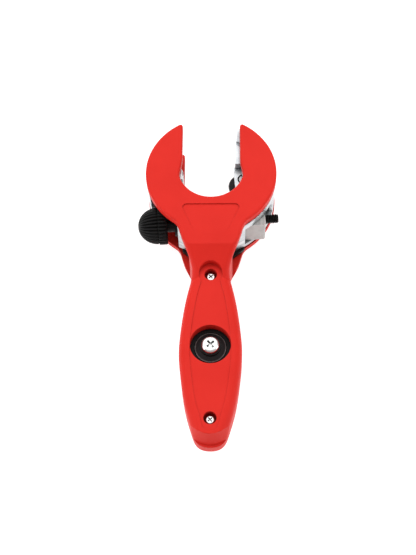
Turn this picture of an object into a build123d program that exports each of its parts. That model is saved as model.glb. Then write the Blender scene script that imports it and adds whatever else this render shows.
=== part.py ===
from build123d import *
import os
from math import cos, pi, radians, sin, sqrt

# Ratcheting C-head tube cutter. Millimetres, +Z out of the front head plate, +Y out of the throat.
# The origin is the rotor's turning axis (also the tube's axis) where it meets the flat rear head plate.

# ---- head and handle, one outline for both shells ----
TOTAL_T = 40.0            # rear head face to front head face
SEAM_Z = TOTAL_T / 2      # the shells meet here, and the rotor is centred on it
PLATE_T = 5.0             # thickness of each C-shaped head plate
HEAD_R = 39.2             # outer radius of the head plates
HEAD_Y = 1.2              # their centre lies this far over the rotor's axis
FRONT_EDGE = 1.4          # rounded edge of the front head plate
REAR_EDGE = 1.4           # rounded edge of the rear head plate
NECK_EDGE = 3.4           # wider rounding down both sides of the neck's slope
NECK_BLEND = 9.0          # concave blend from the head into the neck
NECK_CORNERS = (-40.0, -28.0)    # the outline's two corners that it blends lie between these Y
TIP_ROUND = 1.5           # rounded corners of the two tips
CAVITY_R = 55.0           # swept space between the plates that the knob and screw turn in
CAVITY_ROUND = 3.0        # blend between the cavity's end wall and the plates
SLOPE_Y = -47.6           # the flat head face ends here and slopes down to the handle
SLOPE_END_Y = -65.0       # the slope reaches the handle's level here
FRONT_REACH = 10.0        # the front slope runs on this far inside the handle
REAR_REACH = 12.0         # the same at the rear
FRONT_RIM_Z = 31.3        # front of the handle
REAR_RIM_Z = 8.6          # rear of the handle
FRONT_ROUND = 5.2         # rounded long edges, front
REAR_ROUND = 5.0          # rounded long edges, rear
PANEL_SINK = 0.35         # the front panel lies this far under the rims
PANEL_INSET = 6.2         # from the handle's outline to the panel's edge
SHELL_WALL = 2.6
SHELL_FLOOR = 2.3
HANDLE_TOP_Y = -50.0      # where the handle body starts inside the neck
HOLLOW_TOP_Y = -58.0      # the handle is solid above this line
FRONT_HOLLOW_END_Y = -150.5      # and under this one at the front
REAR_HOLLOW_END_Y = -158.0       # and at the rear
HANDLE_START = (-0.42, -1)       # direction of the outline where it leaves the head
HANDLE_SIDE = [
    (20.5, -31.0), (16.8, -42.6), (13.6, -51.0), (11.0, -59.8), (12.5, -69.5), (14.6, -79.3),
    (17.3, -99.5), (17.9, -110.0), (16.6, -126.0), (14.1, -141.8), (10.3, -155.2), (0.0, -163.6),
]

# ---- end of the handle: the front shell stops at a sloped wall, the rear one reaches further ----
END_WALL_TOP = (-159.2, 10.8)    # lowest point and radius of the wall's arc at the handle's front
END_WALL_FOOT = (-162.2, 13.3)   # the same at the seam
END_WALL_FLARE = 53.0            # half of the arc's angle, in degrees; straight flanks carry it on
SEAM_GAP = 0.35                  # shadow gap round the handle between the two shells

# ---- throat of the shells ----
THROAT_HALF = 17.4        # half the gap at the tips
THROAT_R = 19.7           # radius of the throat's bottom
THROAT_Y = 3.9            # centre of that radius
THROAT_ARC_END_Y = -2.5   # the bottom radius ends here on both sides
THROAT_STRAIGHT_Y = 11.0  # the sides are straight above this line

# ---- label field on the front plate ----
LABEL_TOP_Y = -21.0
LABEL_TOP_HALF = 18.3
LABEL_LOW_Y = -41.0
LABEL_LOW_HALF = 8.8
LABEL_DEPTH = 0.7
LABEL_CORNER = 2.6

# ---- small screws that close the shells ----
SCREW_YS = (-63.2, -150.1)
SCREW_R = 1.5
SCREW_HEAD_R = 3.0
SCREW_HEAD_T = 2.0
SCREW_SEAT_Z = 26.0
SCREW_TIP_Z = 12.2
SCREW_BORE_R = 3.65
BOSS_R = 5.8
SCOOP_R = 6.8             # round floor about the upper screw
INSERT_R = 2.4
INSERT_BASE_Z = 11.6
INSERT_TOP_Z = 19.6

# ---- domed screw heads, in proportion to the head ----
HEAD_DOME = 0.7           # rounding over the head's thickness
CROSS_REACH = 0.5         # half the recess's length over the head's radius
CROSS_WIDTH = 0.24        # arm width over the head's radius
CROSS_DEPTH = 0.7         # depth over the head's thickness
CROSS_TURN = 40.0         # degrees

# ---- spare wheel in the handle ----
POCKET_Y = -106.7
POCKET_R = 11.65
POCKET_WALL = 1.7
CUP_TOP_Z = 25.0
CUP_FLOOR_Z = 19.2
CUP_FLOOR_T = 1.0
CUP_WALL = 2.3
CUP_SEAT_R = 4.2          # raised seat under the wheel's hub
SPARE_BASE_Z = 22.4
SPARE_SCREW_HEAD_R = 5.2
SPARE_SCREW_HEAD_T = 3.0
SPARE_SCREW_TIP_Z = 12.4
SPARE_INSERT_R = 3.8
SPARE_BOSS_R = 6.4

# ---- rotor ----
REST_TURN = 3.8           # the rotor stands turned by this angle, in degrees
ROTOR_R = 38.8
BODY_R = 38.6
FLANGE_GAP = 0.3          # axial gap between a head plate and its flange
FLANGE_T = 2.8
ROTOR_THROAT_LEFT = -17.1
ROTOR_THROAT_LEFT_TOP = -19.2
ROTOR_THROAT_RIGHT = 15.0
ROTOR_THROAT_RIGHT_TOP = 18.4
ROTOR_STEP_Y = 8.6        # under this line the right side stands back from the jaw
ROTOR_STEP_X = 18.8
ROTOR_THROAT_R = 20.4
ROTOR_THROAT_Y = 3.2
FINGER_CUT_X = -22.0      # finger room round the knob: everything left of and below this corner
FINGER_CUT_Y = -10.4
TEETH = 72
TOOTH_TIP_R = 37.4        # the toothed flange lies back under the rotor's body
TOOTH_DEPTH = 1.3
TOOTH_LAND = 0.7          # degrees
TOOTH_RAKE = 0.3          # degrees of undercut on the steep face
ROTOR_SCREW_R = 1.5
ROTOR_SCREW_HEAD_R = 2.7
ROTOR_SCREW_HEAD_T = 1.6
ROTOR_SCREW_LENGTH = 9.0
ROTOR_SCREW_RING = 33.15
ROTOR_SCREW_ANGLES = (24.0, 49.0, 132.0, 164.0, 248.0)

# ---- guide rings between plates and flanges ----
RING_IN_R = 28.0
RING_OUT_R = 30.0
RING_SINK = 1.5           # depth of the ring's seat in the plate
RING_STAND = 1.5          # the ring stands out of the plate by this much
RING_CLEAR = 0.25
RING_END_GAP = 2.0        # from the throat's side to the ring's end

# ---- rollers ----
ROLLER_R = 4.2
ROLLER_X = -20.8
ROLLER_YS = (6.6, -4.4)
ROLLER_GAP = 0.4
ROLLER_PIN_R = 1.5
ROLLER_CHAMFER = 0.5
FIT = 0.04                # radial clearance of a running fit

# ---- cutting wheel, the same part as the spare one ----
WHEEL_R = 8.9
WHEEL_HUB_R = 5.8
WHEEL_HUB_T = 5.6
WHEEL_BLADE_T = 2.2
WHEEL_EDGE_T = 0.2
WHEEL_BORE_R = 2.55
WHEEL_X = 19.4
WHEEL_Y = 1.0

# ---- jaw ----
JAW_T = 18.0
JAW_LEFT_X = 14.2
JAW_RIGHT_X = 31.0
JAW_TOP_Y = 9.8
JAW_LOW_Y = -14.0
JAW_ROUND = 1.2
WHEEL_SLOT_T = 6.2
WHEEL_SLOT_R = 9.6
WHEEL_PIN_R = 2.5
WHEEL_PIN_HEAD_R = 3.4
WHEEL_PIN_HEAD_T = 1.2
WHEEL_PIN_SHORT = 0.1     # the pin ends this far under the jaw's front
PIN_CLIP_T = 0.6
NUT_LEFT_X = 14.2
NUT_RIGHT_X = 30.6
NUT_LOW_Y = -31.4
NUT_STEP_Y = -26.4
NUT_STEP = 0.8
CHANNEL_GAP = 0.35        # gap between the jaw and its channel
CHANNEL_LEFT_X = -8.0
CHANNEL_RIGHT_X = 34.5
NUT_MOUTH_X = 18.1        # right of this line the body is open under the nut block
YOKE_ROOM_X = 10.0        # the yoke's own room in the body starts here, past the throat
CHANNEL_FLARE = 10.0      # the channel runs on past the rotor at the right

# ---- feed screw and knob, along the rotor's X ----
FEED_Y = -22.8
FEED_R = 2.95
FEED_END_X = 39.0
FEED_COLLAR_R = 4.3
FEED_CHAMFER = 0.7
KNOB_LEFT_X = -45.8
KNOB_STEP_X = -33.9
KNOB_RIGHT_X = -28.3
KNOB_R = 11.55
KNOB_DOME_R = 11.1
KNOB_BEVEL = 0.8
KNOB_BORE_END_X = -36.5
KNOB_PIN_X = -31.1
KNOB_PIN_R = 1.0
KNOB_PIN_SINK = 1.0       # the pin ends this far under the knob's surface
THRUST_R = 7.0
THRUST_T = 1.5
THRUST_GAP = 0.1
BUSH_R = 4.4
BUSH_FLANGE_R = 5.6
BUSH_FLANGE_T = 0.8
CLIP_X = -6.9
CLIP_T = 0.8
CLIP_R = 4.6
CLIP_GROOVE = 0.45        # depth of the clip's groove in the screw
CLIP_OPENING = 2.4

# ---- pawls in the neck ----
PAWL_TIP_ANGLE = 27.5     # degrees each side of the handle's centre line
PAWL_PIVOT = (5.2, -42.4)
PAWL_T = 2.5
PAWL_EYE_R = 3.0
PAWL_PIN_R = 1.25
PAWL_PIN_BASE_Z = 1.2
PAWL_ARM_TIP = 1.2        # half the arm's width at its tip
PAWL_GAP = 0.5            # degrees between the tooth's steep face and the pawl
PAWL_CLEAR = 0.35         # radial gap between the arm and the teeth
PAWL_HOOK_OUT = 2.0       # the hook reaches from this far outside the teeth's tips
PAWL_HOOK_IN = 0.5        # to this far above their roots
PAWL_HOOK_TIP = 0.8       # width of the hook's end, in degrees
PAWL_HOOK_BASE = 2.8      # width of its foot, in degrees
PAWL_ARM_OUT = 1.4        # the arm's middle line meets the hook this far outside the tips
PAWL_TAIL_Y = -47.0
PAWL_TAIL_HALF = 1.3
SPRING_R = 0.85
SPRING_WIRE_R = 0.2
SPRING_TURNS = 7
SPRING_END_GAP = 0.1
SPRING_FOOT = 0.3         # the coil lies this far above the ends of the pawls' tails

# ---- values that follow from the ones above ----
FRONT_IN_Z = TOTAL_T - PLATE_T
REAR_IN_Z = PLATE_T
REAR_FLANGE_Z = REAR_IN_Z + FLANGE_GAP
FRONT_FLANGE_Z = FRONT_IN_Z - FLANGE_GAP - FLANGE_T
BODY_LOW_Z = REAR_FLANGE_Z + FLANGE_T
BODY_TOP_Z = FRONT_FLANGE_Z
JAW_LOW_Z = SEAM_Z - JAW_T / 2
JAW_TOP_Z = SEAM_Z + JAW_T / 2
PITCH = 360 / TEETH
TOOTH_ROOT_R = TOOTH_TIP_R - TOOTH_DEPTH
TOOTH_PHASE = (270 - PAWL_TIP_ANGLE - REST_TURN) % PITCH
TURN = Rot(0, 0, REST_TURN)
CLEAR = 0.02              # gap between a fastener or pin and its hole
FAR = 60.0                # further than any side of the head
MARGIN = 1.0              # how far a cut runs on past what it cuts
TOUCH = 0.01              # closer than this counts as touching
INSET_STEPS = 16          # points that carry an inset outline


def box(x0, x1, y0, y1, z0, z1):
    """A box from its limits along the three axes."""
    size = (x1 - x0, y1 - y0, z1 - z0)
    return Pos((x0 + x1) / 2, (y0 + y1) / 2, (z0 + z1) / 2) * Box(*size)


def post(x, y, radius, z0, z1):
    """An upright cylinder from z0 to z1."""
    return Pos(x, y, (z0 + z1) / 2) * Cylinder(radius, z1 - z0)


def bar(x0, x1, radius):
    """A cylinder along X on the feed screw's axis."""
    place = Pos((x0 + x1) / 2, FEED_Y, SEAM_Z) * Rot(0, 90, 0)
    return place * Cylinder(radius, x1 - x0)


def polar(radius, angle):
    """A point at this radius and angle, in degrees."""
    return radius * cos(radians(angle)), radius * sin(radians(angle))


def slab(face, z0, z1):
    """A flat face of the XY plane made into a plate from z0 to z1."""
    return extrude(Pos(0, 0, z0) * face, z1 - z0, dir=(0, 0, 1))


def group(solids):
    """Separate solids kept together as one node."""
    return Compound([s for part in solids for s in part.solids()])


# ---------------------------------------------------------------- shells

def handle_side():
    """Right-hand outline of neck and handle, from inside the head to the handle's end."""
    return Spline(*HANDLE_SIDE, tangents=[HANDLE_START, (-1, 0)])


def mirrored_face(side):
    """A face between an outline and its mirror image about the centre line."""
    start = side @ 0
    return make_face([side, mirror(side, about=Plane.YZ), Line(start, (-start.X, start.Y))])


def handle_face():
    """Plan outline of neck and handle."""
    return mirrored_face(handle_side())


def inset_face(amount):
    """The same outline moved in by this amount."""
    side = handle_side()
    points = []
    for i in range(INSET_STEPS + 1):
        along = side % (i / INSET_STEPS)
        points.append(side @ (i / INSET_STEPS) + Vector(along.Y, -along.X) * amount)
    return mirrored_face(Spline(*points, tangents=[side % 0, side % 1]))


def throat_face():
    """The gap that the tube goes into: a round bottom and two straight sides."""
    x = sqrt(THROAT_R**2 - (THROAT_ARC_END_Y - THROAT_Y)**2)
    low = ThreePointArc(
        (-x, THROAT_ARC_END_Y), (0, THROAT_Y - THROAT_R), (x, THROAT_ARC_END_Y))
    sides = []
    for s in (-1, 1):
        start = (s * x, THROAT_ARC_END_Y)
        turn = (s * (THROAT_Y - THROAT_ARC_END_Y), x)
        end = (s * THROAT_HALF, THROAT_STRAIGHT_Y)
        sides.append(Spline(start, end, tangents=[turn, (0, x)]))
        sides.append(Line(end, (s * THROAT_HALF, FAR)))
    top = Line((-THROAT_HALF, FAR), (THROAT_HALF, FAR))
    return make_face([low, *sides, top])


def head_face():
    """Plan outline of a whole shell: round head, throat, neck and handle."""
    face = Pos(0, HEAD_Y) * Circle(HEAD_R) + handle_face()
    low, high = NECK_CORNERS
    corners = [v for v in face.vertices() if low < v.Y < high and abs(v.X) > LABEL_LOW_HALF]
    face = fillet(corners, NECK_BLEND)
    face -= throat_face()
    tips = [v for v in face.vertices() if v.Y > THROAT_R]
    return fillet(tips, TIP_ROUND)


def slope_body(face_z, rim_z, reach):
    """Everything under the head face and under the slope down to the handle, from the side."""
    drop = (rim_z - face_z) / (SLOPE_Y - SLOPE_END_Y)
    end_y = SLOPE_END_Y - reach
    end_z = face_z + drop * (SLOPE_Y - end_y)
    outline = Polyline(
        (FAR, SEAM_Z), (FAR, face_z), (SLOPE_Y, face_z), (end_y, end_z), (end_y, SEAM_Z), close=True)
    side = Plane.YZ * make_face(outline)
    return extrude(side, FAR, both=True)


def outer_shell(face_z, rim_z, reach, head_round, grip_round):
    """Solid outside of one shell, from the seam to its head face."""
    low, high = sorted((SEAM_Z, face_z))
    head = slab(head_face(), low, high) & slope_body(face_z, rim_z, reach)
    head = fillet([e for e in head.edges() if is_slope_edge(e)], NECK_EDGE)
    head = fillet([e for e in head.edges() if is_rim_edge(e, face_z)], head_round)
    low, high = sorted((SEAM_Z, rim_z))
    grip = slab(handle_face() & below(HANDLE_TOP_Y), low, high)
    grip = fillet(grip_edges(grip, rim_z), grip_round)
    return head + grip


def below(y):
    """A large rectangle of the XY plane under the line y."""
    return Pos(0, y - 2 * FAR) * Rectangle(4 * FAR, 4 * FAR)


def is_slope_edge(edge):
    """Whether an edge runs down one side of the slope."""
    ends = [edge.position_at(0), edge.position_at(1)]
    rising = abs(ends[0].Z - ends[1].Z) > MARGIN
    return rising and abs(ends[0].Y - ends[1].Y) > TOUCH


def is_rim_edge(edge, face_z):
    """Whether an edge runs round the head's face, apart from the one across the top of the slope."""
    points = [edge.position_at(0), edge.position_at(0.5), edge.position_at(1)]
    across = all(abs(p.Y - SLOPE_Y) < TOUCH for p in points)
    return all(abs(p.Z - face_z) < TOUCH for p in points) and not across


def grip_edges(grip, rim_z):
    """The long rounded edges of the handle's face."""
    edges = grip.edges().filter_by(lambda e: abs(e.position_at(0.5).Z - rim_z) < TOUCH)
    return [e for e in edges if e.geom_type != GeomType.LINE]


def end_wall_face(lowest_y, radius):
    """Everything past the handle's end wall at one level: an arc with a straight flank on each side."""
    end = Vector(*polar(radius, 270 + END_WALL_FLARE))
    flank = Vector(*polar(radius, END_WALL_FLARE))
    right = end + flank
    arc = ThreePointArc((-end.X, end.Y), (0, -radius), (end.X, end.Y))
    rest = Polyline((end.X, end.Y), (right.X, right.Y), (right.X, -FAR), (-right.X, -FAR),
                    (-right.X, right.Y), (-end.X, end.Y))
    return Pos(0, lowest_y + radius) * make_face([arc, *rest.edges()])


def end_wall_cut():
    """The room past the front shell's sloped end wall."""
    foot = Pos(0, 0, SEAM_Z) * end_wall_face(*END_WALL_FOOT)
    top = Pos(0, 0, FRONT_RIM_Z) * end_wall_face(*END_WALL_TOP)
    return loft([foot, top], ruled=True)


def seam_gap_cut():
    """Narrow groove round the handle on the front shell's side of the seam."""
    ring = (handle_face() - inset_face(SEAM_GAP)) & below(HANDLE_TOP_Y)
    return slab(ring, SEAM_Z, SEAM_Z + SEAM_GAP)


def cavity():
    """Room between the head plates in which the rotor, the knob and the screw turn."""
    room = post(0, 0, CAVITY_R, REAR_IN_Z, FRONT_IN_Z)
    return fillet(room.edges(), CAVITY_ROUND)


def hollow(end_y, z0, z1):
    """Hollow inside the handle down to end_y, with walls left all round."""
    inner = inset_face(SHELL_WALL) & below(HOLLOW_TOP_Y)
    return slab(inner - below(end_y), z0, z1)


def panel_cut():
    """The flat front panel, with its round upper end about the upper screw."""
    field = inset_face(PANEL_INSET) & below(SCREW_YS[0])
    field += Pos(0, SCREW_YS[0]) * Circle(SCOOP_R)
    return slab(field, FRONT_RIM_Z - PANEL_SINK, TOTAL_T)


def label_cut():
    """A shallow blank field on the front plate that runs out towards the neck."""
    field = make_face(Polyline(
        (-LABEL_TOP_HALF, LABEL_TOP_Y), (LABEL_TOP_HALF, LABEL_TOP_Y),
        (LABEL_LOW_HALF, LABEL_LOW_Y), (-LABEL_LOW_HALF, LABEL_LOW_Y), close=True))
    field = fillet([v for v in field.vertices() if v.Y > LABEL_TOP_Y - MARGIN], LABEL_CORNER)
    floor = Polyline(
        (LABEL_TOP_Y, TOTAL_T - LABEL_DEPTH), (LABEL_LOW_Y, TOTAL_T), (LABEL_TOP_Y, TOTAL_T), close=True)
    wedge = extrude(Plane.YZ * make_face(floor), FAR, both=True)
    return slab(field, TOTAL_T - MARGIN, TOTAL_T) & wedge


def ring_face(inner, outer):
    """A C-shaped ring, open over the throat."""
    ring = Circle(outer) - Circle(inner)
    return ring - throat_wide()


def throat_wide():
    """Upright gap a little wider than the throat, which ends the guide rings."""
    return Pos(0, FAR / 2) * Rectangle(2 * (THROAT_HALF + RING_END_GAP), FAR)


def pawl_pin_places():
    """The two pivots in the neck."""
    x, y = PAWL_PIVOT
    return [(-x, y), (x, y)]


def front_shell():
    """Front half of the handle and head: panel, label field, screw bores and the pocket."""
    shell = outer_shell(TOTAL_T, FRONT_RIM_Z, FRONT_REACH, FRONT_EDGE, FRONT_ROUND)
    shell -= cavity()
    shell -= hollow(FRONT_HOLLOW_END_Y, SEAM_Z, FRONT_RIM_Z - SHELL_FLOOR)
    shell += post(0, POCKET_Y, POCKET_R + POCKET_WALL, SEAM_Z, FRONT_RIM_Z - SHELL_FLOOR)
    for y in SCREW_YS:
        shell += post(0, y, BOSS_R, SEAM_Z, FRONT_RIM_Z - SHELL_FLOOR)
    shell -= panel_cut()
    shell -= label_cut()
    shell -= end_wall_cut()
    shell -= seam_gap_cut()
    shell -= post(0, POCKET_Y, POCKET_R, SEAM_Z, TOTAL_T)
    for y in SCREW_YS:
        shell -= post(0, y, SCREW_BORE_R, SCREW_SEAT_Z, TOTAL_T)
        shell -= post(0, y, SCREW_R + CLEAR, SEAM_Z, SCREW_SEAT_Z)
    shell -= slab(ring_face(RING_IN_R, RING_OUT_R), FRONT_IN_Z, FRONT_IN_Z + RING_SINK)
    return shell


def rear_shell():
    """Rear half, with the screws' bosses and the pawls' pivots."""
    shell = outer_shell(0, REAR_RIM_Z, REAR_REACH, REAR_EDGE, REAR_ROUND)
    shell -= cavity()
    shell -= hollow(REAR_HOLLOW_END_Y, REAR_RIM_Z + SHELL_FLOOR, SEAM_Z)
    shell += post(0, POCKET_Y, SPARE_BOSS_R, REAR_RIM_Z + MARGIN, CUP_FLOOR_Z)
    for y in SCREW_YS:
        shell += post(0, y, BOSS_R, REAR_RIM_Z + MARGIN, SEAM_Z)
        shell -= post(0, y, INSERT_R, INSERT_BASE_Z, SEAM_Z)
    shell -= post(0, POCKET_Y, SPARE_INSERT_R, INSERT_BASE_Z, CUP_FLOOR_Z)
    shell -= slab(ring_face(RING_IN_R, RING_OUT_R), REAR_IN_Z - RING_SINK, REAR_IN_Z)
    for x, y in pawl_pin_places():
        shell -= post(x, y, PAWL_PIN_R, PAWL_PIN_BASE_Z, REAR_IN_Z)
    return shell


def cross_recess(y, top_z, head_r, depth):
    """The cross-shaped driver recess in a screw's head, in proportion to the head."""
    reach = head_r * CROSS_REACH
    width = head_r * CROSS_WIDTH
    arms = Rectangle(2 * reach, width) + Rectangle(width, 2 * reach)
    return slab(Pos(0, y) * Rot(0, 0, CROSS_TURN) * arms, top_z - depth, top_z)


def pan_screw(y, seat_z, head_r, head_t, shank_r, tip_z):
    """An upright screw with a domed head and a cross recess."""
    head = post(0, y, head_r, seat_z, seat_z + head_t)
    head = fillet(head.edges().sort_by(Axis.Z)[-1:], head_t * HEAD_DOME)
    head -= cross_recess(y, seat_z + head_t, head_r, head_t * CROSS_DEPTH)
    return head + post(0, y, shank_r, tip_z, seat_z)


def handle_screws():
    """The two screws that close the shells."""
    return group(
        pan_screw(y, SCREW_SEAT_Z, SCREW_HEAD_R, SCREW_HEAD_T, SCREW_R, SCREW_TIP_Z) for y in SCREW_YS)


def shell_inserts():
    """The brass sleeves that they run into."""
    return group(insert(y, INSERT_R, SCREW_R, INSERT_TOP_Z) for y in SCREW_YS)


def insert(y, outer_r, shank_r, top_z):
    """A brass sleeve that a screw runs into."""
    return post(0, y, outer_r, INSERT_BASE_Z, top_z) - post(0, y, shank_r, SCREW_TIP_Z - FIT, top_z)


def guide_ring(z0):
    """Low-friction C-shaped rail that the rotor's flange turns on."""
    return slab(ring_face(RING_IN_R, RING_OUT_R), z0, z0 + RING_SINK + RING_STAND)


# ---------------------------------------------------------------- spare wheel

def wheel_profile():
    """Half section of the cutting wheel, from the bore out to the edge."""
    hub = WHEEL_HUB_T / 2
    blade = WHEEL_BLADE_T / 2
    edge = WHEEL_EDGE_T / 2
    return Polyline(
        (WHEEL_BORE_R, -hub), (WHEEL_HUB_R, -hub), (WHEEL_HUB_R, -blade), (WHEEL_R, -edge),
        (WHEEL_R, edge), (WHEEL_HUB_R, blade), (WHEEL_HUB_R, hub), (WHEEL_BORE_R, hub), close=True)


def wheel(x, y, z):
    """A hardened cutting wheel with a hub on both sides, standing on an upright axis."""
    section = Plane.XZ * make_face(wheel_profile())
    return Pos(x, y, z) * revolve(section, Axis.Z)


def spare_wheel():
    """The wheel kept in the handle's pocket."""
    return wheel(0, POCKET_Y, SPARE_BASE_Z + WHEEL_HUB_T / 2)


def spare_wheel_cup():
    """Black dish that fills the pocket round the spare wheel."""
    cup = post(0, POCKET_Y, POCKET_R - CLEAR, CUP_FLOOR_Z, CUP_TOP_Z)
    cup -= post(0, POCKET_Y, POCKET_R - CUP_WALL, CUP_FLOOR_Z + CUP_FLOOR_T, CUP_TOP_Z)
    cup += post(0, POCKET_Y, CUP_SEAT_R, CUP_FLOOR_Z, SPARE_BASE_Z)
    return cup - post(0, POCKET_Y, WHEEL_BORE_R, CUP_FLOOR_Z, CUP_TOP_Z)


def spare_wheel_screw():
    """The screw that holds the spare wheel."""
    seat = SPARE_BASE_Z + WHEEL_HUB_T
    shank = WHEEL_BORE_R - FIT
    return pan_screw(
        POCKET_Y, seat, SPARE_SCREW_HEAD_R, SPARE_SCREW_HEAD_T, shank, SPARE_SCREW_TIP_Z)


def spare_wheel_insert():
    """The brass sleeve under the pocket."""
    sleeve = post(0, POCKET_Y, SPARE_INSERT_R, INSERT_BASE_Z, CUP_FLOOR_Z)
    return sleeve - post(0, POCKET_Y, WHEEL_BORE_R - FIT, SPARE_SCREW_TIP_Z - FIT, CUP_FLOOR_Z)


# ---------------------------------------------------------------- rotor

def rotor_throat():
    """The rotor's own gap: a round bottom, flared sides, and a step over the jaw on the right."""
    low = Pos(0, ROTOR_THROAT_Y) * Circle(ROTOR_THROAT_R) & below(0)
    sides = make_face(Polyline(
        (ROTOR_THROAT_LEFT, -1), (ROTOR_THROAT_LEFT_TOP, HEAD_R), (ROTOR_THROAT_LEFT_TOP, FAR),
        (ROTOR_THROAT_RIGHT_TOP, FAR), (ROTOR_THROAT_RIGHT_TOP, HEAD_R),
        (ROTOR_THROAT_RIGHT, ROTOR_STEP_Y), (ROTOR_STEP_X, ROTOR_STEP_Y), (ROTOR_STEP_X, -1),
        close=True))
    return low + sides


def finger_cut():
    """Finger room round the knob."""
    return Pos(FINGER_CUT_X - FAR, FINGER_CUT_Y - FAR) * Rectangle(2 * FAR, 2 * FAR)


def tooth_face():
    """A disc with ratchet teeth: a steep undercut face, then a long back."""
    points = []
    for i in range(TEETH):
        steep = TOOTH_PHASE + i * PITCH
        points.append(polar(TOOTH_TIP_R, steep - TOOTH_LAND))
        points.append(polar(TOOTH_TIP_R, steep))
        points.append(polar(TOOTH_ROOT_R, steep - TOOTH_RAKE))
        points.append(polar(TOOTH_ROOT_R, steep + TOOTH_LAND))
    return make_face(Polyline(*points, close=True))


def flange(z0, outline):
    """One C-shaped end plate of the rotor with its guide groove and its holes."""
    plate = slab(outline - rotor_throat() - finger_cut(), z0, z0 + FLANGE_T)
    for y in ROLLER_YS:
        plate -= post(ROLLER_X, y, ROLLER_PIN_R, z0, z0 + FLANGE_T)
    return plate


def guide_groove(z0, z1):
    """Ring-shaped room in a flange for its guide ring."""
    ring = Circle(RING_OUT_R + RING_CLEAR) - Circle(RING_IN_R - RING_CLEAR)
    return slab(ring, z0, z1)


def rotor_screw_places():
    """Where the screws stand that hold the flanges to the body."""
    return [polar(ROTOR_SCREW_RING, a) for a in ROTOR_SCREW_ANGLES]


def countersunk(x, y, face_z, sense):
    """A countersunk screw that goes into the rotor's body from one flange."""
    head_z = face_z - sense * ROTOR_SCREW_HEAD_T
    tip_z = face_z - sense * ROTOR_SCREW_LENGTH
    low, high = sorted((head_z, tip_z))
    tilt = Rot(0, 0, 0) if sense > 0 else Rot(180, 0, 0)
    cone = Cone(ROTOR_SCREW_R, ROTOR_SCREW_HEAD_R, ROTOR_SCREW_HEAD_T)
    head = Pos(x, y, (face_z + head_z) / 2) * tilt * cone
    return head + post(x, y, ROTOR_SCREW_R, low, high)


def rotor_screw_solids():
    """Countersunk screws from both faces."""
    front = FRONT_FLANGE_Z + FLANGE_T
    solids = []
    for x, y in rotor_screw_places():
        solids.append(countersunk(x, y, front, 1))
        solids.append(countersunk(x, y, REAR_FLANGE_Z, -1))
    return solids


def with_screw_holes(part):
    """The rotor part with the room for its screws taken out."""
    for screw in rotor_screw_solids():
        part -= screw
    return part


def rotor_front_flange():
    """Plain front flange."""
    plate = flange(FRONT_FLANGE_Z, Circle(ROTOR_R))
    top = FRONT_FLANGE_Z + FLANGE_T
    plate -= guide_groove(top - RING_STAND + FLANGE_GAP - RING_CLEAR, top)
    return with_screw_holes(plate)


def rotor_rear_flange():
    """Rear flange, with the ratchet teeth round it."""
    plate = flange(REAR_FLANGE_Z, tooth_face())
    groove_top = REAR_FLANGE_Z + RING_STAND - FLANGE_GAP + RING_CLEAR
    plate -= guide_groove(REAR_FLANGE_Z, groove_top)
    return with_screw_holes(plate)


def jaw_channel():
    """Room in the rotor's body for the jaw over its whole travel."""
    z0 = JAW_LOW_Z - CHANNEL_GAP
    z1 = JAW_TOP_Z + CHANNEL_GAP
    low_y = NUT_LOW_Y - CHANNEL_GAP
    nut = box(CHANNEL_LEFT_X, BODY_R + CHANNEL_FLARE, low_y, JAW_LOW_Y + 2 * MARGIN, z0, z1)
    mouth = box(NUT_MOUTH_X, BODY_R + CHANNEL_FLARE, -FAR, JAW_LOW_Y, z0, z1)
    yoke = box(YOKE_ROOM_X, CHANNEL_RIGHT_X, low_y, JAW_TOP_Y + CHANNEL_GAP, z0, z1)
    return nut + mouth + yoke


def rotor_body():
    """Cast body between the flanges, with room for the jaw, the rollers and the bush."""
    body = slab(Circle(BODY_R) - rotor_throat() - finger_cut(), BODY_LOW_Z, BODY_TOP_Z)
    body -= jaw_channel()
    for y in ROLLER_YS:
        room = post(ROLLER_X, y, ROLLER_R + ROLLER_GAP, BODY_LOW_Z, BODY_TOP_Z)
        body -= room
    body -= bar(FINGER_CUT_X - MARGIN, CHANNEL_LEFT_X + MARGIN, BUSH_R)
    body -= bar(FINGER_CUT_X - MARGIN, FINGER_CUT_X + BUSH_FLANGE_T, BUSH_FLANGE_R)
    return with_screw_holes(body)


def roller_pins():
    """The two pins that the rollers turn on."""
    low = REAR_FLANGE_Z
    high = FRONT_FLANGE_Z + FLANGE_T
    return group(post(ROLLER_X, y, ROLLER_PIN_R, low, high) for y in ROLLER_YS)


def roller(y):
    """A steel roller that the tube bears on."""
    z0 = BODY_LOW_Z + ROLLER_GAP
    z1 = BODY_TOP_Z - ROLLER_GAP
    drum = post(ROLLER_X, y, ROLLER_R, z0, z1)
    drum = chamfer(drum.edges().filter_by(GeomType.CIRCLE), ROLLER_CHAMFER)
    return drum - post(ROLLER_X, y, ROLLER_PIN_R + FIT, z0, z1)


# ---------------------------------------------------------------- feed screw

def feed_bush():
    """Flanged bronze bush that carries the feed screw in the body."""
    bush = bar(FINGER_CUT_X, CHANNEL_LEFT_X, BUSH_R)
    bush += bar(FINGER_CUT_X, FINGER_CUT_X + BUSH_FLANGE_T, BUSH_FLANGE_R)
    return bush - bar(FINGER_CUT_X, CHANNEL_LEFT_X, FEED_R + FIT)


def thrust_plate():
    """Washer that takes the cutting force between the screw's collar and the body."""
    right = FINGER_CUT_X - THRUST_GAP
    washer = bar(right - THRUST_T, right, THRUST_R)
    return washer - bar(right - THRUST_T, right, FEED_R + CLEAR)


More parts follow.
